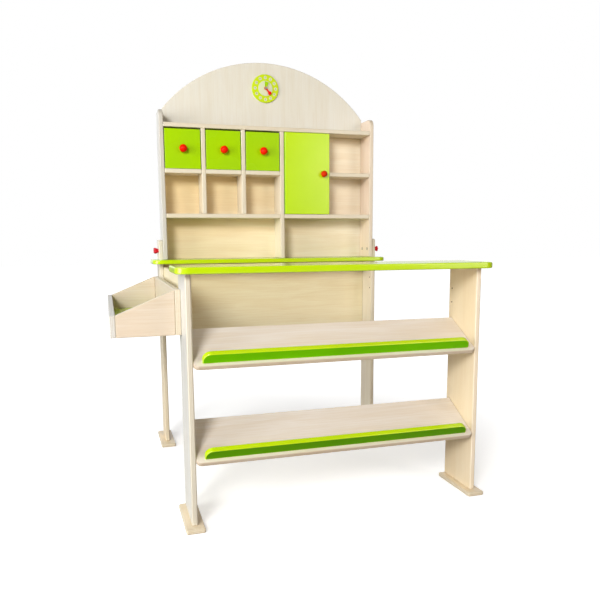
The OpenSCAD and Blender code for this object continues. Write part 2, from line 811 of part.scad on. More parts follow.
place() {
    rear_leg(0);  // rear_leg_left
    rear_leg(1);  // rear_leg_right
    foot(0, rear_foot_y, rear_leg_y, rear_leg_d);  // rear_foot_left
    foot(1, rear_foot_y, rear_leg_y, rear_leg_d);  // rear_foot_right
    front_leg(0);  // front_leg_left
    front_leg(1);  // front_leg_right
    foot(0, front_foot_y, front_leg_y, front_leg_d);  // front_foot_left
    foot(1, front_foot_y, front_leg_y, front_leg_d);  // front_foot_right
    rear_counter();
    front_counter();
    lower_back_panel();
    connecting_panel();
    display_shelf(display_shelf_zs[0]);  // display_shelf_upper
    display_shelf(display_shelf_zs[1]);  // display_shelf_lower
    shelf_lip(display_shelf_zs[0]);  // shelf_lip_upper
    shelf_lip(display_shelf_zs[1]);  // shelf_lip_lower
    bin_back_board();
    bin_outer_board();
    bin_sides();
    bin_floor();
    hutch_side(0);  // hutch_side_left
    hutch_side(1);  // hutch_side_right
    top_shelf();
    drawer_shelves();
    bottom_shelf(0);  // bottom_shelf_left
    bottom_shelf(1);  // bottom_shelf_right
    drawer_divider(0);  // drawer_divider_left
    drawer_divider(1);  // drawer_divider_right
    centre_divider();
    door_divider();
    side_shelf();
    hutch_back();
    arch_panel();
    drawer_front(0);  // drawer_1_front
    drawer_sides(0);  // drawer_1_sides
    drawer_back(0);  // drawer_1_back
    drawer_bottom(0);  // drawer_1_bottom
    drawer_knob(0);  // drawer_1_knob
    drawer_front(1);  // drawer_2_front
    drawer_sides(1);  // drawer_2_sides
    drawer_back(1);  // drawer_2_back
    drawer_bottom(1);  // drawer_2_bottom
    drawer_knob(1);  // drawer_2_knob
    drawer_front(2);  // drawer_3_front
    drawer_sides(2);  // drawer_3_sides
    drawer_back(2);  // drawer_3_back
    drawer_bottom(2);  // drawer_3_bottom
    drawer_knob(2);  // drawer_3_knob
    door_panel();
    door_knob();
    door_pins();
    clock_ring();
    clock_face();
    clock_pin();
    hour_hand();
    minute_hand();
    thumb_screws();
    threaded_inserts();
    wood_screws();
    dowels();
}
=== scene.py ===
"""Looks of a toy market stall: pale birch boards, lime-green lacquer and round red knobs.

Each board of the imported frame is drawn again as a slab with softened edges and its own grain,
the knobs and thumb screws are turned shapes, and the play clock gets its numbers.
"""
import math

import bpy
import numpy as np
from mathutils import Matrix, Vector
from mathutils.geometry import tessellate_polygon

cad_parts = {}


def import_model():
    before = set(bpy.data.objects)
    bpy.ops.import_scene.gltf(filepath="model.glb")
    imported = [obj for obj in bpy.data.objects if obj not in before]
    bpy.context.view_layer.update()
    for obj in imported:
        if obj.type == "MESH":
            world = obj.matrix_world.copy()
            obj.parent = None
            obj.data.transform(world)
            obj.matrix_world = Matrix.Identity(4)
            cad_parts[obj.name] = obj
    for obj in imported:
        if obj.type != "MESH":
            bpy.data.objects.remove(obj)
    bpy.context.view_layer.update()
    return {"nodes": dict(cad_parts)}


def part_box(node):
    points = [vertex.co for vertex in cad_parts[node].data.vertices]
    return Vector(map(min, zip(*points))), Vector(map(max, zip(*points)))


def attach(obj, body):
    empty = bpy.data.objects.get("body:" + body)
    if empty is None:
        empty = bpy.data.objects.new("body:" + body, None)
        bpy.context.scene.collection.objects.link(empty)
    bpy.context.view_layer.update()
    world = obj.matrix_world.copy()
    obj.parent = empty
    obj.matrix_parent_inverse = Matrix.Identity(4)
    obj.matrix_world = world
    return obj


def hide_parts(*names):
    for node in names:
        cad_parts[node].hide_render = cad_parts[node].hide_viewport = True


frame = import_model()
scene = bpy.context.scene
scene.view_settings.view_transform = "Standard"

MM = 0.001
X, Y, Z = 0, 1, 2
quarter_turn = math.pi / 2
full_turn = 2 * math.pi


# Camera: where the photograph was taken from.

view_from = Vector((-0.4161, -1.5997, 0.5942))
view_yaw = math.radians(16.78)
view_pitch = math.radians(8.27)
view_roll = math.radians(0.35)
view_focal_share = 1.0618
view_shift = (0.0017, 0.0554)
sensor_w = 36.0


def camera():
    """The camera looks along the yaw and pitch, and is then rolled about its own axis."""
    forward = Vector((math.sin(view_yaw) * math.cos(view_pitch),
                      math.cos(view_yaw) * math.cos(view_pitch),
                      -math.sin(view_pitch)))
    level_right = Vector((math.cos(view_yaw), -math.sin(view_yaw), 0))
    level_down = forward.cross(level_right)
    right = level_right * math.cos(view_roll) + level_down * math.sin(view_roll)
    down = level_down * math.cos(view_roll) - level_right * math.sin(view_roll)
    turn = Matrix((right, -down, -forward)).transposed().to_4x4()
    data = bpy.data.cameras.new("view")
    data.sensor_width = sensor_w
    data.lens = sensor_w * view_focal_share
    data.shift_x, data.shift_y = view_shift
    eye = bpy.data.objects.new("view", data)
    eye.matrix_world = Matrix.Translation(view_from) @ turn
    scene.collection.objects.link(eye)
    scene.camera = eye


camera()


# Shader building. The mix node numbers its sockets, and these are the ones for colours.

mix_share, mix_first, mix_second, mix_result = 0, 6, 7, 2
value_socket = "NodeSocketFloat"
place_socket = "NodeSocketVector"


def add(tree, kind, sockets=(), **settings):
    """Adds a node; sockets holds (input, value or the output that feeds it) pairs."""
    made = tree.nodes.new(kind)
    for key, value in settings.items():
        setattr(made, key, value)
    for key, value in sockets:
        if isinstance(value, bpy.types.NodeSocket):
            tree.links.new(value, made.inputs[key])
        else:
            made.inputs[key].default_value = value
    return made


def group(name, inputs, outputs):
    """An empty shader group with named sockets; returns it with its two end nodes."""
    tree = bpy.data.node_groups.new(name, "ShaderNodeTree")
    for way, sockets in (("INPUT", inputs), ("OUTPUT", outputs)):
        for label, kind in sockets:
            tree.interface.new_socket(name=label, in_out=way, socket_type=kind)
    return tree, tree.nodes.new("NodeGroupInput"), tree.nodes.new("NodeGroupOutput")


def math_node(tree, operation, first, second=0.0, clamp=False):
    """One step of arithmetic on two values."""
    made = add(tree, "ShaderNodeMath", [(0, first), (1, second)], operation=operation, use_clamp=clamp)
    return made.outputs[0]


def ranged(tree, value, low, high, to_low=0.0, to_high=1.0):
    """Carries the range from low to high over to another range, and holds what lies outside at its ends."""
    made = add(tree, "ShaderNodeMapRange", [("Value", value), ("From Min", low), ("From Max", high),
                                           ("To Min", to_low), ("To Max", to_high)])
    return made.outputs["Result"]


def even_noise(tree, place, scale, detail):
    """Noise that is the same along every axis."""
    sockets = [("Vector", place), ("Scale", scale), ("Detail", detail)]
    return add(tree, "ShaderNodeTexNoise", sockets).outputs["Fac"]


# Noise of the wood: how close it is packed along, across and through the board, how fine and how
# wavy it is, and the two levels between which it is spread.

noise_roughness = 0.55
figure_noise = dict(packing=(1.0, 9.0, 3.0), scale=3.2, detail=3.0, waves=1.1, levels=(0.34, 0.68))
streak_noise = dict(packing=(5.0, 240.0, 60.0), scale=2.0, detail=4.0, waves=0.4, levels=(0.30, 0.72))
pore_noise = dict(packing=(46.0, 620.0, 200.0), scale=2.0, detail=2.0, waves=0.0, levels=(0.60, 0.78))
wobble_noise = dict(packing=(8.0, 8.0, 8.0), scale=3.0, detail=2.0, waves=0.0, levels=(0.0, 1.0))
pore_share = 0.22
wobble_share = 0.35
layer_levels = (-0.4, 0.9)


def wood_noise(tree, place, packing, scale, detail, waves, levels):
    """Noise that is packed closer along some axes than along others, spread between its two levels."""
    packed = add(tree, "ShaderNodeVectorMath", [(0, place), (1, packing)], operation="MULTIPLY")
    sockets = [("Vector", packed.outputs[0]), ("Scale", scale), ("Detail", detail),
               ("Roughness", noise_roughness), ("Distortion", waves)]
    return ranged(tree, add(tree, "ShaderNodeTexNoise", sockets).outputs["Fac"], *levels)


def grain_group():
    """Birch figure from a place measured along, across and through the board.

    Shade is broad figure plus fine streaks plus short pores; Layers is the lines of the plies
    through the thickness; Height is the streaks less the pores.
    """
    tree, start, end = group(
        "birch_grain",
        [("Place", place_socket), ("Figure", value_socket), ("Streak", value_socket),
         ("Layer", value_socket)],
        [("Shade", value_socket), ("Layers", value_socket), ("Height", value_socket)])
    place = start.outputs["Place"]
    broad = wood_noise(tree, place, **figure_noise)
    fine = wood_noise(tree, place, **streak_noise)
    pores = wood_noise(tree, place, **pore_noise)
    figure = math_node(tree, "MULTIPLY", broad, start.outputs["Figure"])
    streaks = math_node(tree, "MULTIPLY", fine, start.outputs["Streak"])
    specks = math_node(tree, "MULTIPLY", pores, pore_share)
    shade = math_node(tree, "ADD", math_node(tree, "ADD", figure, streaks), specks, clamp=True)
    depth = add(tree, "ShaderNodeSeparateXYZ", [("Vector", place)]).outputs["Z"]
    turns = math_node(tree, "DIVIDE", depth, start.outputs["Layer"])
    wobble = math_node(tree, "MULTIPLY", wood_noise(tree, place, **wobble_noise), wobble_share)
    angle = math_node(tree, "MULTIPLY", math_node(tree, "ADD", turns, wobble), math.pi)
    layers = ranged(tree, math_node(tree, "SINE", angle), *layer_levels)
    height = math_node(tree, "SUBTRACT", fine, pores)
    for label, value in (("Shade", shade), ("Layers", layers), ("Height", height)):
        tree.links.new(value, end.inputs[label])
    return tree


mottle_scale = 9.0
mottle_detail = 3.0
mottle_levels = (0.32, 0.68)
peel_scale = 400.0
peel_detail = 2.0


def skin_group():
    """Sprayed lacquer: Mottle is a slow change of coat, Height is the fine peel of its surface."""
    tree, start, end = group("lacquer_skin", [("Place", place_socket), ("Peel", value_socket)],
                             [("Mottle", value_socket), ("Height", value_socket)])
    place = start.outputs["Place"]
    slow = even_noise(tree, place, mottle_scale, mottle_detail)
    peel = even_noise(tree, place, start.outputs["Peel"], peel_detail)
    tree.links.new(ranged(tree, slow, *mottle_levels), end.inputs["Mottle"])
    tree.links.new(peel, end.inputs["Height"])
    return tree


birch_grain = grain_group()
lacquer_skin = skin_group()


# Finishes.

screen_white = 255.0
dark_end = 0.04045
dark_slope = 12.92
curve_offset = 0.055
curve_power = 2.4


def rgb(red, green, blue):
    """A colour that is written as it looks on screen, from 0 to 255, made linear for the shader."""
    shown = np.array([red, green, blue]) / screen_white
    curved = ((shown + curve_offset) / (1.0 + curve_offset)) ** curve_power
    linear = np.where(shown <= dark_end, shown / dark_slope, curved)
    return (*linear.tolist(), 1.0)


def mixed(tree, share, first, second, blend="MIX"):
    """Blends two colours by a share, or multiplies one by the other."""
    sockets = [(mix_share, share), (mix_first, first), (mix_second, second)]
    return add(tree, "ShaderNodeMix", sockets, data_type="RGBA", blend_type=blend).outputs[mix_result]


def material(name):
    """A new material, with its nodes and its main shader."""
    made = bpy.data.materials.new(name)
    made.use_nodes = True
    tree = made.node_tree
    return made, tree, tree.nodes["Principled BSDF"]


def bumped(tree, shader, height, strength, distance):
    """Tilts the shader's normal by a height."""
    bump = add(tree, "ShaderNodeBump", [("Height", height), ("Strength", strength), ("Distance", distance)])
    tree.links.new(bump.outputs["Normal"], shader.inputs["Normal"])


layer_line_share = 0.40
birch_roughness = (0.40, 0.56)
birch_coat = 0.40
birch_coat_roughness = 0.24
birch_relief_share = 0.06
birch_relief = 0.4 * MM


def birch(name, light, dark, line, figure, streak, layer):
    """Clear-lacquered birch: light wood with dark figure, and lines of the layers on the board's edges."""
    made, tree, shader = material(name)
    place = add(tree, "ShaderNodeAttribute", attribute_name="grain").outputs["Vector"]
    tint = add(tree, "ShaderNodeAttribute", attribute_name="tint").outputs["Color"]
    sawn = add(tree, "ShaderNodeAttribute", attribute_name="sawn").outputs["Fac"]
    sockets = [("Place", place), ("Figure", figure), ("Streak", streak), ("Layer", layer)]
    wood = add(tree, "ShaderNodeGroup", sockets, node_tree=birch_grain)
    face = mixed(tree, wood.outputs["Shade"], light, dark)
    bands = math_node(tree, "MULTIPLY", wood.outputs["Layers"], sawn)
    layered = mixed(tree, math_node(tree, "MULTIPLY", bands, layer_line_share), face, line)
    tree.links.new(mixed(tree, 1.0, layered, tint, "MULTIPLY"), shader.inputs["Base Color"])
    tree.links.new(ranged(tree, wood.outputs["Shade"], 0.0, 1.0, *birch_roughness),
                   shader.inputs["Roughness"])
    shader.inputs["Coat Weight"].default_value = birch_coat
    shader.inputs["Coat Roughness"].default_value = birch_coat_roughness
    bumped(tree, shader, wood.outputs["Height"], birch_relief_share, birch_relief)
    return made


mottle_roughness = 0.07
peel_relief = 0.3 * MM
plain_peel_share = 0.05
smooth_peel_share = 0.012


def lacquer(name, colour, deep, roughness, gloss, peel_share=plain_peel_share):
    """Lacquer over smooth wood, a little deeper where the coat is thick."""
    made, tree, shader = material(name)
    place = add(tree, "ShaderNodeTexCoord").outputs["Object"]
    skin = add(tree, "ShaderNodeGroup", node_tree=lacquer_skin)
    tree.links.new(place, skin.inputs["Place"])
    skin.inputs["Peel"].default_value = peel_scale
    tree.links.new(mixed(tree, skin.outputs["Mottle"], colour, deep), shader.inputs["Base Color"])
    tree.links.new(ranged(tree, skin.outputs["Mottle"], 0.0, 1.0, roughness, roughness + mottle_roughness),
                   shader.inputs["Roughness"])
    shader.inputs["Specular IOR Level"].default_value = gloss
    bumped(tree, shader, skin.outputs["Height"], peel_share, peel_relief)
    return made


cloud_scale = 600.0
cloud_detail = 3.0
cloud_levels = (0.3, 0.7)
zinc_roughness = (0.26, 0.48)


def zinc(name, dull, bright):
    """Plated steel: metal with a cloudy colour and roughness."""
    made, tree, shader = material(name)
    place = add(tree, "ShaderNodeTexCoord").outputs["Object"]
    cloud = even_noise(tree, place, cloud_scale, cloud_detail)
    tree.links.new(mixed(tree, cloud, dull, bright), shader.inputs["Base Color"])
    tree.links.new(ranged(tree, cloud, *cloud_levels, *zinc_roughness), shader.inputs["Roughness"])
    shader.inputs["Metallic"].default_value = 1.0
    return made


ply_t = 1.6 * MM
thin_ply_t = 1.5 * MM
board_birch = birch("board_birch", rgb(247, 241, 227), rgb(233, 218, 190), rgb(206, 180, 144),
                    figure=0.30, streak=0.32, layer=ply_t)
figured_birch = birch("figured_birch", rgb(250, 245, 233), rgb(231, 214, 184), rgb(206, 180, 144),
                      figure=0.42, streak=0.42, layer=ply_t)
thin_birch = birch("thin_birch", rgb(246, 238, 218), rgb(230, 210, 176), rgb(204, 172, 132),
                   figure=0.46, streak=0.40, layer=thin_ply_t)
dowel_birch = lacquer("dowel_birch", rgb(228, 204, 166), rgb(214, 187, 146), roughness=0.50, gloss=0.2)
lime_lacquer = lacquer("lime_lacquer", rgb(161, 208, 0), rgb(155, 203, 0), roughness=0.24, gloss=0.20)
# A lighter lime: painted sheen on the counters and the lips' tops, and painted light on the bin's floor.
lime_painted_sheen_and_light = lacquer("lime_painted_sheen_and_light", rgb(191, 223, 0), rgb(184, 218, 0), roughness=0.12, gloss=0.70,
                       peel_share=smooth_peel_share)
# A lighter lime for the door's front: painted sheen.
door_painted_sheen_lime = lacquer("door_painted_sheen_lime", rgb(190, 227, 0), rgb(184, 222, 0), roughness=0.18, gloss=0.42,
                    peel_share=smooth_peel_share)
# Darker limes for the lips' front faces: painted shade, and on the lower lip also painted shadow.
lip_painted_shade_lime = lacquer("lip_painted_shade_lime", rgb(112, 198, 0), rgb(104, 188, 0), roughness=0.28, gloss=0.05)
lip_painted_shadow_lime = lacquer("lip_painted_shadow_lime", rgb(92, 158, 0), rgb(86, 150, 0), roughness=0.28, gloss=0.05)
red_lacquer = lacquer("red_lacquer", rgb(246, 34, 2), rgb(232, 24, 0), roughness=0.26, gloss=0.10)
# A darker red for the door's knob: painted shade.
door_red_painted_shade = lacquer("door_red_painted_shade", rgb(214, 48, 6), rgb(198, 38, 2), roughness=0.26, gloss=0.10)
grip_red = lacquer("grip_red", rgb(200, 22, 40), rgb(184, 16, 32), roughness=0.34, gloss=0.25)
cream_print = lacquer("cream_print", rgb(212, 218, 186), rgb(206, 212, 178), roughness=0.40, gloss=0.2)
ring_print = lacquer("ring_print", rgb(200, 222, 24), rgb(190, 214, 18), roughness=0.35, gloss=0.2)
number_green = lacquer("number_green", rgb(120, 150, 40), rgb(112, 140, 36), roughness=0.45, gloss=0.2)
# Dark walls for the bores: painted shade inside the holes.
bore_painted_shade = lacquer("bore_painted_shade", rgb(86, 62, 42), rgb(66, 46, 30), roughness=0.70, gloss=0.1)
steel = zinc("steel", rgb(150, 150, 146), rgb(196, 197, 194))
# Darkened steel for the threaded inserts: painted shade of the holes they sit in.
insert_steel_painted_shade = zinc("insert_steel_painted_shade", rgb(84, 72, 58), rgb(116, 102, 84))


# Shapes.

arc_steps = 6
slab_steps = 5
bore_sides = 28
turned_sides = 48


def rounded_outline(corners, radii):
    """Closed outline with an arc at each corner; a negative radius rounds a hollow corner.

    Each arc's centre is the corner moved along both inward edge normals by radius / (1 + their dot
    product), and its points are centre + radius * normal as the normal turns from one edge to the next.
    Returns the points and their outward normals; corners run anticlockwise.
    """
    corners = np.asarray(corners, float)
    radii = np.broadcast_to(np.asarray(radii, float), len(corners))
    ahead = np.roll(corners, -1, axis=0) - corners
    ahead = ahead / np.linalg.norm(ahead, axis=1, keepdims=True)
    after = np.column_stack([-ahead[:, 1], ahead[:, 0]])
    before = np.roll(after, 1, axis=0)
    dot = (before * after).sum(axis=1)
    cross = before[:, 0] * after[:, 1] - before[:, 1] * after[:, 0]
    centre = corners + (before + after) * (radii / (1.0 + dot))[:, None]
    first = np.arctan2(-before[:, 1], -before[:, 0])
    angle = first[:, None] + np.arctan2(cross, dot)[:, None] * np.linspace(0.0, 1.0, arc_steps)
    normal = np.stack([np.cos(angle), np.sin(angle)], axis=-1)
    points = centre[:, None] + normal * radii[:, None, None]
    return points.reshape(-1, 2), normal.reshape(-1, 2)


def circle(a, b, radius):
    """A bore's outline in the board's plane, centre + radius * normal all round, and its normals."""
    angle = np.linspace(0.0, full_turn, bore_sides, endpoint=False)
    normal = np.column_stack([np.cos(angle), np.sin(angle)])
    return np.array([a, b]) + radius * normal, normal


def ring_faces(rows, columns):
    """Quads of a grid whose columns close on themselves, as corner numbers."""
    row, column = np.meshgrid(np.arange(rows - 1), np.arange(columns), indexing="ij")
    beside = (column + 1) % columns
    quads = np.stack([row * columns + column, row * columns + beside,
                      (row + 1) * columns + beside, (row + 1) * columns + column], axis=-1)
    return quads.reshape(-1, 4)


def cap_faces(loops, height_sign):
    """Triangles that fill an outline round its holes, turned to face up or down the thickness."""
    flat = np.concatenate(loops)
    raised = [[Vector((a, b, 0.0)) for a, b in loop] for loop in loops]
    triangles = np.array(tessellate_polygon(raised), int)
    one, two, three = flat[triangles[:, 0]], flat[triangles[:, 1]], flat[triangles[:, 2]]
    base, side = two - one, three - one
    area = base[:, 0] * side[:, 1] - base[:, 1] * side[:, 0]
    triangles = triangles[np.abs(area) > 0]
    area = area[np.abs(area) > 0]
    wrong = np.sign(area) != height_sign
    triangles[wrong] = triangles[wrong][:, ::-1]
    return triangles


def slab(outline, low, high, edge, holes=()):
    """A board: an outline carried through its thickness along a profile with quarter-round edges.

    At angle a the profile is moved in by edge * (1 - cos a) and stands edge * (1 - sin a) inside the
    nearer face, for a from -90 to 90 degrees. Holes are (points, outward normals) of straight bores.
    Returns points, faces, the normal at each corner of each face, which faces fill the lower side and
    which ones line a bore.
    """
    points, normals = outline
    quarter = np.linspace(0.0, quarter_turn, slab_steps)
    angle = np.concatenate([-quarter[::-1], quarter])
    inset = edge * (1.0 - np.cos(angle))
    height = np.where(np.arange(len(angle)) < slab_steps, low + edge * (1.0 + np.sin(angle)),
                      high - edge * (1.0 - np.sin(angle)))
    count = len(points)
    grid = np.empty((len(angle), count, 3))
    grid[..., :2] = points - inset[:, None, None] * normals
    grid[..., 2] = height[:, None]
    lean = np.empty_like(grid)
    lean[..., :2] = np.cos(angle)[:, None, None] * normals
    lean[..., 2] = np.sin(angle)[:, None]
    quads = ring_faces(len(angle), count)
    verts = [grid.reshape(-1, 3)]
    faces = [quads.tolist()]
    corner_normals = [lean.reshape(-1, 3)[quads.reshape(-1)]]
    rims = {-1: np.arange(count), 1: np.arange(count) + (len(angle) - 1) * count}
    loops = [grid[0, :, :2]]
    used = len(angle) * count
    for hole_points, hole_normals in holes:
        size = len(hole_points)
        both = np.concatenate([np.column_stack([hole_points, np.full(size, level)])
                               for level in (low, high)])
        wall = ring_faces(2, size)[:, ::-1]
        verts.append(both)
        faces.append((wall + used).tolist())
        inward = np.tile(np.column_stack([-hole_normals, np.zeros(size)]), (2, 1))
        corner_normals.append(inward[wall.reshape(-1)])
        rims[-1] = np.concatenate([rims[-1], used + np.arange(size)])
        rims[1] = np.concatenate([rims[1], used + size + np.arange(size)])
        loops.append(hole_points)
        used += 2 * size
    for side in (-1, 1):
        triangles = cap_faces(loops, side)
        faces.append(rims[side][triangles].tolist())
        corner_normals.append(np.tile([0.0, 0.0, float(side)], (triangles.size, 1)))
    part = np.repeat(np.arange(len(faces)), [len(rows) for rows in faces])
    front = part == len(faces) - 2
    bored = (part > 0) & (part < len(faces) - 2)
    return np.concatenate(verts), sum(faces, []), np.concatenate(corner_normals), front, bored


def turned(along, radius, origin, axis, sides=turned_sides, lobes=0, lobe_share=0.0, lobe_rows=None):
    """A turned piece: a profile of distance and radius carried round an axis, closed at both ends.

    The first and last profile points lie on the axis. With lobes, the radius of the chosen rows is
    multiplied by 1 - lobe_share * (1 + cos(lobes * angle)) / 2.
    """
    along, radius = np.asarray(along, float), np.asarray(radius, float)
    axis = np.asarray(axis, float)
    side = np.roll(axis, 1)
    ahead = np.cross(axis, side)
    angle = np.linspace(0.0, full_turn, sides, endpoint=False)
    ring = np.cos(angle)[:, None] * side + np.sin(angle)[:, None] * ahead
    reach = np.repeat(radius[1:-1, None], sides, axis=1)
    if lobes:
        waist = 1.0 - lobe_share * (1.0 + np.cos(lobes * angle)) / 2.0
        reach = np.where(np.asarray(lobe_rows)[1:-1, None], reach * waist, reach)
    rows = along[1:-1, None, None] * axis + reach[..., None] * ring
    ends = along[[0, -1], None] * axis
    verts = np.concatenate([rows.reshape(-1, 3), ends]) + np.asarray(origin)
    quads = ring_faces(len(rows), sides)
    here = np.arange(sides)
    beside = (here + 1) % sides
    last = (len(rows) - 1) * sides
    back = np.column_stack([beside, here, np.full(sides, len(verts) - 2)])
    front = np.column_stack([last + here, last + beside, np.full(sides, len(verts) - 1)])
    return verts, quads.tolist() + back.tolist() + front.tolist()


def joined(shapes):
    """Several (points, faces) shapes as one."""
    offsets = np.cumsum([0] + [len(verts) for verts, _ in shapes[:-1]]).tolist()
    faces = []
    for (_, own_faces), offset in zip(shapes, offsets):
        faces.extend([corner + offset for corner in face] for face in own_faces)
    return np.concatenate([verts for verts, _ in shapes]), faces


# Pieces.

smooth_angle = math.radians(35.0)
pieces = []


def piece(name, verts, faces, finish, body, slot, nodes, corner_normals=None):
    """Puts a shape into the scene as a piece that rides on a body and stands for its CAD nodes."""
    mesh = bpy.data.meshes.new(name)
    mesh.from_pydata(np.asarray(verts).tolist(), [], faces)
    mesh.polygons.foreach_set("use_smooth", np.ones(len(mesh.polygons), bool))
    if corner_normals is None:
        mesh.set_sharp_from_angle(angle=smooth_angle)
    else:
        mesh.normals_split_custom_set(np.asarray(corner_normals).tolist())
    mesh.materials.append(finish)
    made = bpy.data.objects.new(name, mesh)
    scene.collection.objects.link(made)
    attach(made, body)
    if nodes:
        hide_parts(*nodes)
    pieces.append(made)
    return made


def refinish(made, chosen, finish):
    """Gives the chosen faces of a piece another finish."""
    index = np.empty(len(made.data.polygons), np.int32)
    made.data.polygons.foreach_get("material_index", index)
    index[chosen] = len(made.data.materials)
    made.data.materials.append(finish)
    made.data.polygons.foreach_set("material_index", index)


# Tints of the boards: partly the tone that differs from one sheet of birch to the next, and partly painted
# light and shade that even out how much light, and how warm a light, each board takes.

pale = (0.78, 0.81, 0.83)
# Boards on the left: painted shade against the left lamp, and a cool tone standing for painted sheen at a
# grazing view.
left_painted_sheen_and_shade = (0.72, 0.775, 0.87)
linen = (0.86, 0.84, 0.80)
cream = (0.94, 0.925, 0.87)
fawn = (0.87, 0.77, 0.73)
amber = (0.92, 0.83, 0.68)
rosy = (0.86, 0.84, 0.87)
peach = (0.90, 0.81, 0.67)
blush = (0.74, 0.685, 0.645)
honey = (1.0, 0.99, 0.80)
# The lower back panel darkens to the right and along its top: painted shade, and painted shadow of the
# counters.
honey_painted_shade_right = (0.94, 0.91, 0.73)
honey_painted_shadow_top = (0.91, 0.87, 0.61)
honey_painted_shadow_top_right = (0.79, 0.74, 0.53)
# Edges of the left hutch side: painted shade.
left_edge_painted_shade = (0.60, 0.63, 0.66)
# Warm tints at the left of the hutch back: painted warm shade.
wheat_painted_shade = (0.94, 0.85, 0.72)
chalk = (0.87, 0.865, 0.90)
apricot_painted_shade = (1.0, 0.86, 0.48)
white = (1.0, 1.0, 1.0)
# Edge tints: painted shade on the sawn edges.
painted_edge_shade = (0.75, 0.76, 0.71)
# A deeper edge tint for the display shelves: painted shade on front edges that look forward and down.
painted_down_edge_shade = (0.62, 0.56, 0.48)
painted_edge_shade_share = 0.6
tinted_nodes = (
    (pale, ("arch_panel",)),
    (left_painted_sheen_and_shade, ("front_leg_left", "hutch_side_left", "bin_outer_board")),
    (rosy, ("display_shelf_upper", "display_shelf_lower")),
    (honey, ("lower_back_panel", "connecting_panel")),
    (blush, ("bin_back_board", "bin_sides")),
    (peach, ("rear_leg_left", "rear_foot_left", "rear_foot_right", "front_foot_left", "front_foot_right")),
    (cream, ("rear_leg_right",)),
    (amber, ("front_leg_right",)),
    (fawn, ("hutch_side_right",)),
    (linen, ("top_shelf", "drawer_divider_left", "drawer_divider_right", "centre_divider")),
)
tints = {node: tint for tint, nodes in tinted_nodes for node in nodes}
edge_tints = {"hutch_side_left": left_edge_painted_shade, "bin_outer_board": left_painted_sheen_and_shade, "front_leg_right": white}


# Boards. The two axes of a board's plane are followed by the axis of its thickness.

plane_axes = ((Y, Z, X), (Z, X, Y), (X, Y, Z))
golden_share = 0.618034
grain_step_along = 3.7
grain_step_across = 2.3
leg_edge = 3.0 * MM
board_edge = 2.0 * MM
thin_edge = 1.0 * MM
board_t = 12.0 * MM
slots = {board_birch: "birch", figured_birch: "birch", thin_birch: "thin_plywood",
         lime_lacquer: "lime_lacquer", lime_painted_sheen_and_light: "lime_lacquer", door_painted_sheen_lime: "lime_lacquer"}


class Board:
    """One board between two corners: its thickness axis, its grain axis and its softened edges.

    Its tint runs along the grain from tint to far_tint. On the face at the low end of the thickness
    it also runs across the grain, to the pair of upper_tints; these runs paint light and shade across a
    board. The sawn edges lean to edge_tint, a painted shade on them.
    """

    def __init__(self, low, high, thick, grain, edge, corner_radii=None, corners=None, holes=(), turn=None,
                 tint=cream, far_tint=None, upper_tints=None, edge_tint=painted_edge_shade):
        first, second, third = plane_axes[thick]
        if corners is None:
            corners = [(low[first], low[second]), (high[first], low[second]),
                       (high[first], high[second]), (low[first], high[second])]
        outline = rounded_outline(corners, edge if corner_radii is None else corner_radii)
        shape, self.faces, normals, self.front, self.bored = slab(
            outline, low[third], high[third], edge, holes)
        order = np.argsort([first, second, third])
        place = shape[:, order]
        across = X + Y + Z - thick - grain
        middle = (low[thick] + high[thick]) / 2
        share = (len(pieces) * golden_share) % 1.0
        self.grain = np.column_stack([place[:, grain] + grain_step_along * share,
                                      place[:, across] + grain_step_across * share,
                                      place[:, thick] - middle])
        share_along, share_across = (
            np.clip((place[:, axis] - low[axis]) / (high[axis] - low[axis]), 0.0, 1.0)[:, None]
            for axis in (grain, across))
        share_across = np.where(place[:, thick, None] < middle, share_across, 0.0)
        lower = (tint, far_tint or tint)
        below, above = (np.array(pair[0]) * (1.0 - share_along) + np.array(pair[1]) * share_along
                        for pair in (lower, upper_tints or lower))
        self.tint = below * (1.0 - share_across) + above * share_across
        count = len(outline[0])
        self.sawn = np.zeros(len(place))
        self.sawn[count:(2 * slab_steps - 1) * count] = 1.0
        painted_edge_shade_amount = painted_edge_shade_share * self.sawn[:, None]
        self.tint = self.tint * (1.0 - painted_edge_shade_amount) + np.array(edge_tint) * painted_edge_shade_amount
        rotation = np.eye(3) if turn is None else np.array(turn.to_3x3())
        shift = np.zeros(3) if turn is None else np.array(turn.translation)
        self.verts = place @ rotation.T + shift
        self.corner_normals = normals[:, order] @ rotation.T


def boards(node, made, finish, body="stall"):
    """Puts the boards of one CAD node into the scene as one piece, with the grain and tint of each."""
    verts, faces = joined([(board.verts, board.faces) for board in made])
    normals = np.concatenate([board.corner_normals for board in made])
    result = piece("board_" + node, verts, faces, finish, body, slots[finish], [node], normals)
    for label, kind, field in (("grain", "FLOAT_VECTOR", "vector"), ("tint", "FLOAT_VECTOR", "vector"),
                               ("sawn", "FLOAT", "value")):
        attribute = result.data.attributes.new(label, kind, "POINT")
        attribute.data.foreach_set(field, np.concatenate([getattr(board, label) for board in made]).ravel())
    bored = np.concatenate([board.bored for board in made])
    # The bores' walls take the painted shade.
    if bored.any():
        refinish(result, bored, bore_painted_shade)
    return result


def plain_board(node, thick, grain, finish=board_birch, edge=board_edge, body="stall", **more):
    """The board of one CAD node that is a plain rectangle, or has its own corner radii or bores."""
    low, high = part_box(node)
    more.setdefault("tint", tints.get(node, cream))
    more.setdefault("edge_tint", edge_tints.get(node, painted_edge_shade))
    board = Board(low, high, thick, grain, edge, **more)
    return boards(node, [board], finish, body), board


def swapped(corners, radii):
    """Corners given as (x, z), anticlockwise, for a board that is thick along Y and drawn in (z, x)."""
    return [(z, x) for x, z in reversed(corners)], list(reversed(radii))


# Frame: legs, feet, counters and panels.

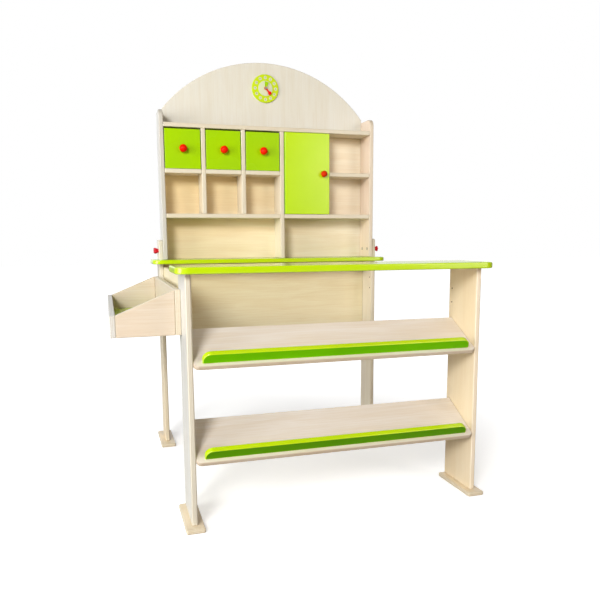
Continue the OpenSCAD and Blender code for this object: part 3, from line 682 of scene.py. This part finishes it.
tab_depth = 64.0 * MM
tab_corner = 8.0 * MM
hollow_corner = 1.0 * MM
hole_r = 2.05 * MM
hole_edge = 14.0 * MM
hole_zs = (445.5 * MM, 478.5 * MM)
foot_edge = 2.5 * MM
foot_corner = 4.0 * MM
counter_corner = 25.0 * MM
counter_edge = 3.0 * MM
slot_gap = 0.2 * MM
spare_hole = (199.25 * MM, 489.0 * MM)


def rear_leg(node, bores, top_tint):
    """A leg with a narrower tab above the rear counter: an outline of six corners, one of them hollow."""
    low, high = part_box(node)
    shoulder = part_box("rear_counter")[0].z
    corners = [(low.y, low.z), (high.y, low.z), (high.y, shoulder), (low.y + tab_depth, shoulder),
               (low.y + tab_depth, high.z), (low.y, high.z)]
    radii = [leg_edge, leg_edge, leg_edge, -hollow_corner, tab_corner, tab_corner]
    holes = [circle(low.y + hole_edge, z, hole_r) for z in hole_zs] if bores else []
    leg = Board(low, high, X, Z, leg_edge, radii, corners, holes, tint=tints[node], far_tint=top_tint)
    boards(node, [leg], board_birch)


def front_leg(node, bores):
    """A plain leg, with or without its two spare holes one above the other near the back edge."""
    back_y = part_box(node)[1].y
    holes = [circle(back_y - hole_edge, z, hole_r) for z in hole_zs] if bores else []
    plain_board(node, X, Z, edge=leg_edge, holes=holes)


def counter(node, slots_cut=()):
    """A lacquered counter with round corners, whose underside is left as bare wood."""
    made, board = plain_board(node, Z, X, lime_painted_sheen_and_light, counter_edge, corner_radii=counter_corner,
                              holes=slots_cut)
    refinish(made, board.front, board_birch)


def tab_slot(leg):
    """The outline of the slot for a leg's tab: the tab's own section with a gap all round."""
    low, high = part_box(leg)
    left, right = low.x - slot_gap, high.x + slot_gap
    near, far = low.y - slot_gap, low.y + tab_depth + slot_gap
    return rounded_outline([(left, near), (right, near), (right, far), (left, far)], hollow_corner)


rear_leg("rear_leg_left", False, pale)
rear_leg("rear_leg_right", True, cream)
front_leg("front_leg_left", False)
front_leg("front_leg_right", True)
for foot in ("rear_foot_left", "rear_foot_right", "front_foot_left", "front_foot_right"):
    plain_board(foot, Z, Y, edge=foot_edge, corner_radii=foot_corner)
counter("rear_counter", [tab_slot("rear_leg_left"), tab_slot("rear_leg_right")])
counter("front_counter")
# The lower back panel's tint: painted light at its lower left, painted shade to the right and the counters'
# painted shadow along its top.
plain_board("lower_back_panel", Y, X, figured_birch, far_tint=honey_painted_shade_right,
            upper_tints=(honey_painted_shadow_top, honey_painted_shadow_top_right))
plain_board("connecting_panel", X, Y, holes=[circle(*spare_hole, hole_r)])


# Display shelves and their lips, drawn level and then sloped about the back edge.

shelf_tilt = math.radians(29.0)
shelf_length = 129.0 * MM
shelf_t = 10.0 * MM
shelf_corner = 12.0 * MM
lip_inset = 18.0 * MM
lip_setback = 8.0 * MM
lip_t = 12.0 * MM
lip_h = 24.0 * MM
lip_corner = 18.0 * MM


def display_shelf(level, lip_painted_shade_finish):
    """A shelf with round front corners and a lip with round top corners, both turned by the tilt.

    The front face of the lip takes a darker lime. It is painted shade of a face that looks forward and
    down, and on the lower lip it is also the painted shadow of the shelf above it.
    """
    shelf = "display_shelf_" + level
    low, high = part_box(shelf)
    width = high.x - low.x
    back_edge = Vector((low.x, high.y - shelf_t * math.sin(shelf_tilt), high.z))
    turn = Matrix.Translation(back_edge) @ Matrix.Rotation(shelf_tilt, 4, "X")
    top = Board((0, -shelf_length, -shelf_t), (width, 0, 0), Z, X, board_edge,
                corner_radii=[shelf_corner, shelf_corner, board_edge, board_edge], turn=turn,
                tint=tints[shelf], edge_tint=painted_down_edge_shade)
    boards(shelf, [top], figured_birch)
    left, right = lip_inset, width - lip_inset
    front = lip_setback - shelf_length
    corners, radii = swapped([(left, 0), (right, 0), (right, lip_h), (left, lip_h)],
                             [board_edge, board_edge, lip_corner, lip_corner])
    strip = Board((left, front, 0), (right, front + lip_t, lip_h), Y, X, board_edge,
                  corner_radii=radii, corners=corners, turn=turn)
    lip = boards("shelf_lip_" + level, [strip], lime_painted_sheen_and_light)
    refinish(lip, strip.front, lip_painted_shade_finish)


display_shelf("upper", lip_painted_shade_lime)
display_shelf("lower", lip_painted_shadow_lime)


# Bin on the left side.

bin_outer_h = 46.0 * MM


def bin_sides():
    """Two boards whose top edge slopes from the bin's back down to its outer board."""
    low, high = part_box("bin_sides")
    section = [(low.x, low.z), (high.x, low.z), (high.x, high.z), (low.x, low.z + bin_outer_h)]
    corners, radii = swapped(section, [board_edge] * len(section))
    made = [Board((low.x, near, low.z), (high.x, near + board_t, high.z), Y, X, board_edge,
                  corner_radii=radii, corners=corners, tint=tints["bin_sides"])
            for near in (low.y, high.y - board_t)]
    boards("bin_sides", made, figured_birch)


plain_board("bin_back_board", X, Y)
plain_board("bin_outer_board", X, Y)
bin_sides()
# The bin floor takes the lighter lime: painted light on a floor in shade.
plain_board("bin_floor", Z, Y, lime_painted_sheen_and_light, thin_edge)


# Hutch.

side_corner = 20.0 * MM
insert_hole_r = 4.55 * MM
arch_rise = 149.0 * MM
arch_points = 41
arch_round_share = 0.97


def hutch_side(node):
    """A side with a rounded front corner at the top and a bore for each threaded insert."""
    low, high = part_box("threaded_inserts")
    radius = (high.z - low.z) / 2
    holes = [circle(y, low.z + radius, insert_hole_r) for y in (low.y + radius, high.y - radius)]
    plain_board(node, X, Z, corner_radii=[board_edge, board_edge, board_edge, side_corner], holes=holes)


def drawer_shelves():
    """Three short shelves, one in each of the gaps between the uprights."""
    low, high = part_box("drawer_shelves")
    left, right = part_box("drawer_divider_left"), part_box("drawer_divider_right")
    gaps = ((low.x, left[0].x), (left[1].x, right[0].x), (right[1].x, high.x))
    made = [Board((x_low, low.y, low.z), (x_high, high.y, high.z), Z, X, board_edge)
            for x_low, x_high in gaps]
    boards("drawer_shelves", made, board_birch)


def arch_panel():
    """The arch is a circle through its two ends and its crown, whose radius is (w * w + h * h) / 2h."""
    low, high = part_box("arch_panel")
    half_w = (high.x - low.x) / 2
    middle_x = (low.x + high.x) / 2
    radius = (half_w ** 2 + arch_rise ** 2) / (2 * arch_rise)
    reach = math.asin(half_w / radius)
    angle = np.linspace(reach, -reach, arch_points)
    crown = np.column_stack([middle_x + radius * np.sin(angle), high.z - radius + radius * np.cos(angle)])
    corners = [(low.x, low.z), (high.x, low.z)] + [tuple(point) for point in crown]
    ends = [board_edge]
    radii = ends * 3 + [radius * arch_round_share] * (arch_points - 2) + ends
    corners, radii = swapped(corners, radii)
    panel = Board(low, high, Y, Z, board_edge, corner_radii=radii, corners=corners,
                  tint=tints["arch_panel"])
    boards("arch_panel", [panel], board_birch)


hutch_side("hutch_side_left")
hutch_side("hutch_side_right")
for shelf in ("top_shelf", "bottom_shelf_left", "bottom_shelf_right", "side_shelf"):
    plain_board(shelf, Z, X)
for upright in ("drawer_divider_left", "drawer_divider_right", "centre_divider", "door_divider"):
    plain_board(upright, X, Z)
# The hutch back's front face is warm at the left and warmest at the top left, painted warm shade in its
# compartments and bays, and plainer to the right.
plain_board("hutch_back", Y, X, thin_birch, thin_edge, tint=wheat_painted_shade, far_tint=chalk,
            upper_tints=(apricot_painted_shade, white))
drawer_shelves()
arch_panel()


# Knobs, turned in one piece with the tenon that is glued into the panel.

neck_r = 5.5 * MM
neck_l = 2.0 * MM
tenon_r = 4.0 * MM
ball_steps = 20
front_axis = (0.0, -1.0, 0.0)


def knob(node, body, finish=red_lacquer):
    """A ball on a straight neck and tenon.

    At angle a the ball's profile stands knob radius * cos a ahead of its centre at radius * sin a,
    from the neck's rim, where radius * sin a is the neck's radius, to the tip.
    """
    low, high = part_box(node)
    knob_r = (high.x - low.x) / 2
    centre = neck_l + math.sqrt(knob_r ** 2 - neck_r ** 2)
    panel_y = low.y + knob_r + centre
    tenon_l = high.y - panel_y
    sweep = np.linspace(math.pi - math.asin(neck_r / knob_r), 0.0, ball_steps)
    along = np.concatenate([[-tenon_l, -tenon_l, 0.0, 0.0], centre + knob_r * np.cos(sweep)])
    radius = np.concatenate([[0.0, tenon_r, tenon_r, neck_r], knob_r * np.sin(sweep)])
    radius[-1] = 0.0
    origin = ((low.x + high.x) / 2, panel_y, (low.z + high.z) / 2)
    piece("turned_" + node, *turned(along, radius, origin, front_axis), finish, body, "red_lacquer", [node])


# Drawers: fronts in lime lacquer, boxes in thin birch. The hinge edge of the door is a half round.

wall_t = 6.0 * MM
front_edge = 1.5 * MM
bottom_edge = 0.5 * MM
door_edge = 1.5 * MM
hinge_lean_share = 0.3


def drawer(body):
    """A front, a back and a bottom, two thin walls and a knob."""
    plain_board(body + "_front", Y, X, lime_lacquer, front_edge, body)
    plain_board(body + "_back", Y, X, thin_birch, thin_edge, body)
    plain_board(body + "_bottom", Z, X, thin_birch, bottom_edge, body)
    low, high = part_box(body + "_sides")
    walls = [Board((left, low.y, low.z), (left + wall_t, high.y, high.z), X, Y, thin_edge)
             for left in (low.x, high.x - wall_t)]
    boards(body + "_sides", walls, thin_birch, body)
    knob(body + "_knob", body)


def door():
    """A board drawn along its height, so that its hinge edge is a half round about the pins.

    Faces that lean towards the hinge take the plain lime, which is darker than the door's lime with its
    painted sheen. This is a painted shade over the highlight on the round.
    """
    low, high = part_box("door_panel")
    hinge_r = (high.y - low.y) / 2
    made, _ = plain_board("door_panel", Z, X, door_painted_sheen_lime, door_edge, "door",
                          corner_radii=[hinge_r, door_edge, door_edge, hinge_r])
    faced = np.empty((len(made.data.polygons), 3))
    made.data.polygons.foreach_get("normal", faced.reshape(-1))
    # The hinge faces keep the plain lime: painted shade over their highlight.
    refinish(made, faced[:, X] < -hinge_lean_share, lime_lacquer)
    knob("door_knob", "door", door_red_painted_shade)


for number in ("1", "2", "3"):
    drawer("drawer_" + number)
door()


# Play clock: ring, pale face and the numbers round it.

number_ring_r = 31.0 * MM
number_disc_r = 4.6 * MM
number_disc_t = 0.3 * MM
number_h = 6.4 * MM
number_t = 0.1 * MM
ring_rim_r = 1.2 * MM
face_rim_r = 0.4 * MM
rim_steps = 6
disc_sides = 96
number_disc_sides = 24
hours = 12


def disc(node, finish, slot, rim_r):
    """A turned disc with a quarter-round rim at the front, radius - rim + rim * cos a at rim * sin a."""
    low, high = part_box(node)
    radius = (high.z - low.z) / 2
    depth = high.y - low.y
    sweep = np.linspace(0.0, quarter_turn, rim_steps)
    along = np.concatenate([[0.0, 0.0], depth - rim_r + rim_r * np.sin(sweep), [depth]])
    reach = np.concatenate([[0.0, radius], radius - rim_r + rim_r * np.cos(sweep), [0.0]])
    origin = ((low.x + high.x) / 2, high.y, (low.z + high.z) / 2)
    verts, faces = turned(along, reach, origin, front_axis, disc_sides)
    piece("disc_" + node, verts, faces, finish, "stall", slot, [node])
    return origin[X], low.y, origin[Z]


def number_shape(text):
    """One number as a thin mesh, centred on the origin and facing up."""
    curve = bpy.data.curves.new("number", "FONT")
    curve.body = text
    curve.size = number_h
    curve.align_x = "CENTER"
    curve.align_y = "CENTER"
    curve.extrude = number_t / 2
    holder = bpy.data.objects.new("number", curve)
    scene.collection.objects.link(holder)
    bpy.context.view_layer.update()
    mesh = bpy.data.meshes.new_from_object(holder.evaluated_get(bpy.context.evaluated_depsgraph_get()))
    verts = np.empty(len(mesh.vertices) * 3)
    mesh.vertices.foreach_get("co", verts)
    faces = [list(polygon.vertices) for polygon in mesh.polygons]
    bpy.data.objects.remove(holder)
    bpy.data.meshes.remove(mesh)
    return verts.reshape(-1, 3), faces


def clock():
    """The ring and face, then a small disc with its number at each hour, evenly spaced on a circle."""
    middle_x, ring_y, middle_z = disc("clock_ring", ring_print, "lime_lacquer", ring_rim_r)
    disc("clock_face", cream_print, "birch", face_rim_r)
    number_y = ring_y - number_disc_t - number_t / 2
    along = [0.0, 0.0, number_disc_t, number_disc_t]
    reach = [0.0, number_disc_r, number_disc_r, 0.0]
    discs, numbers = [], []
    for hour in range(1, hours + 1):
        angle = full_turn * hour / hours
        x = middle_x + number_ring_r * math.sin(angle)
        z = middle_z + number_ring_r * math.cos(angle)
        discs.append(turned(along, reach, (x, ring_y, z), front_axis, number_disc_sides))
        flat, faces = number_shape(str(hour))
        upright = np.column_stack([x + flat[:, X], number_y - flat[:, Z], z + flat[:, Y]])
        numbers.append((upright, faces))
    piece("clock_number_discs", *joined(discs), cream_print, "stall", "birch", [])
    piece("clock_numbers", *joined(numbers), number_green, "stall", "lime_lacquer", [])


clock()


# Thumb screws with a lobed grip.

thumb_head_r = 8.5 * MM
thumb_head_l = 11.0 * MM
thumb_rim_r = 2.4 * MM
thumb_collar_r = 5.0 * MM
thumb_collar_l = 1.5 * MM
thumb_flare_l = 7.0 * MM
thumb_shank_r = 3.0 * MM
thumb_lobes = 5
thumb_lobe_share = 0.30
grip_sides = 60


def thumb_screws():
    """A grip that flares from a plain collar to a quarter-round rim, cut in by lobes.

    There are two on each side, each with its steel shank.
    """
    low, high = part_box("thumb_screws")
    middle_z = (low.z + high.z) / 2
    shank_l = 2 * board_t
    sweep = np.linspace(0.0, quarter_turn, rim_steps)
    along = np.concatenate([[0.0, 0.0, thumb_collar_l, thumb_flare_l],
                            thumb_head_l - thumb_rim_r + thumb_rim_r * np.sin(sweep), [thumb_head_l]])
    radius = np.concatenate([[0.0, thumb_collar_r, thumb_collar_r, thumb_head_r],
                             thumb_head_r - thumb_rim_r + thumb_rim_r * np.cos(sweep), [0.0]])
    grip = along > thumb_collar_l
    shank_along = [-shank_l, -shank_l, -thumb_shank_r / 2, -thumb_shank_r / 2]
    shank_radius = [0.0, thumb_shank_r, thumb_shank_r, 0.0]
    heads, shanks = [], []
    for y in (low.y + thumb_head_r, high.y - thumb_head_r):
        for x, way in ((low.x + thumb_head_l, -1.0), (high.x - thumb_head_l, 1.0)):
            origin, axis = (x, y, middle_z), (way, 0.0, 0.0)
            heads.append(turned(along, radius, origin, axis, grip_sides,
                                thumb_lobes, thumb_lobe_share, grip))
            shanks.append(turned(shank_along, shank_radius, origin, axis))
    piece("turned_thumb_screws", *joined(heads), grip_red, "stall", "red_lacquer", ["thumb_screws"])
    piece("turned_thumb_shanks", *joined(shanks), steel, "stall", "steel", [])


thumb_screws()


# CAD nodes whose shapes are right as they are.

kept_finishes = {"hour_hand": lime_lacquer, "minute_hand": red_lacquer, "clock_pin": steel,
                 "threaded_inserts": insert_steel_painted_shade, "wood_screws": steel,
                 "dowels": dowel_birch, "door_pins": dowel_birch}
for node, finish in kept_finishes.items():
    mesh = frame["nodes"][node].data
    mesh.materials.clear()
    mesh.materials.append(finish)


# Stage: a white floor, white paper behind the stall and three soft lamps in front of it.

floor_size = 30.0
floor_seen = 0.86
floor_bounce = (0.32, 0.25, 0.17)
floor_roughness = 0.9
floor_lifts = (0.50, 1.0)
floor_fade = (0.5, 1.3)
paper_level = 0.41
room_level = 0.02
paper_fade = (-0.2, 0.5)
stall_middle = (0.0, 0.0, 0.7)
warm_white = (1.0, 0.88, 0.79)
lamps = (
    dict(name="key", place=(-1.62, -2.8, 1.75), size=1.0, power=91.0, colour=white),
    dict(name="left_fill", place=(-3.0, -1.0, 0.9), size=2.0, power=76.0, colour=white),
    dict(name="right_fill", place=(2.0, -3.0, 1.2), size=1.6, power=33.0, colour=warm_white),
)


def floor():
    """A white floor that keeps a soft shadow; it is lifted to plain white away from the stall."""
    half = floor_size / 2
    corners = [(-half, -half, 0), (half, -half, 0), (half, half, 0), (-half, half, 0)]
    mesh = bpy.data.meshes.new("floor")
    mesh.from_pydata(corners, [], [(0, 1, 2, 3)])
    made, tree, shader = material("floor_white")
    path = add(tree, "ShaderNodeLightPath").outputs
    seen = math_node(tree, "MAXIMUM", path["Is Camera Ray"], path["Is Glossy Ray"])
    tree.links.new(mixed(tree, seen, (*floor_bounce, 1.0), (floor_seen, floor_seen, floor_seen, 1.0)),
                   shader.inputs["Base Color"])
    shader.inputs["Roughness"].default_value = floor_roughness
    shader.inputs["Specular IOR Level"].default_value = 0.0
    shader.inputs["Emission Color"].default_value = (*white, 1.0)
    place = add(tree, "ShaderNodeTexCoord").outputs["Object"]
    reach = add(tree, "ShaderNodeVectorMath", [(0, place)], operation="LENGTH").outputs["Value"]
    lift = ranged(tree, reach, *floor_fade, *floor_lifts)
    glow = math_node(tree, "MULTIPLY", path["Is Camera Ray"], lift)
    tree.links.new(glow, shader.inputs["Emission Strength"])
    mesh.materials.append(made)
    ground = bpy.data.objects.new("floor", mesh)
    scene.collection.objects.link(ground)


def world():
    """White paper behind the stall and a dimmer room in front of it; the camera sees plain white."""
    made = bpy.data.worlds.new("studio")
    made.use_nodes = True
    tree = made.node_tree
    background = tree.nodes["Background"]
    way = add(tree, "ShaderNodeTexCoord").outputs["Generated"]
    back = add(tree, "ShaderNodeSeparateXYZ", [("Vector", way)]).outputs["Y"]
    path = add(tree, "ShaderNodeLightPath").outputs
    paper = ranged(tree, path["Is Glossy Ray"], 0.0, 1.0, paper_level, 1.0)
    level = ranged(tree, back, *paper_fade, room_level, paper)
    seen = math_node(tree, "MAXIMUM", path["Is Camera Ray"], path["Is Transmission Ray"])
    background.inputs["Color"].default_value = (*white, 1.0)
    tree.links.new(math_node(tree, "MAXIMUM", level, seen), background.inputs["Strength"])
    scene.world = made


def lamp(name, place, size, power, colour):
    """A round lamp that looks at the middle of the stall."""
    data = bpy.data.lights.new(name, "AREA")
    data.shape = "DISK"
    data.size = size
    data.energy = power
    data.color = colour
    holder = bpy.data.objects.new(name, data)
    away = Vector(place) - Vector(stall_middle)
    holder.matrix_world = Matrix.Translation(place) @ away.to_track_quat("Z", "Y").to_matrix().to_4x4()
    scene.collection.objects.link(holder)


floor()
world()
for settings in lamps:
    lamp(**settings)
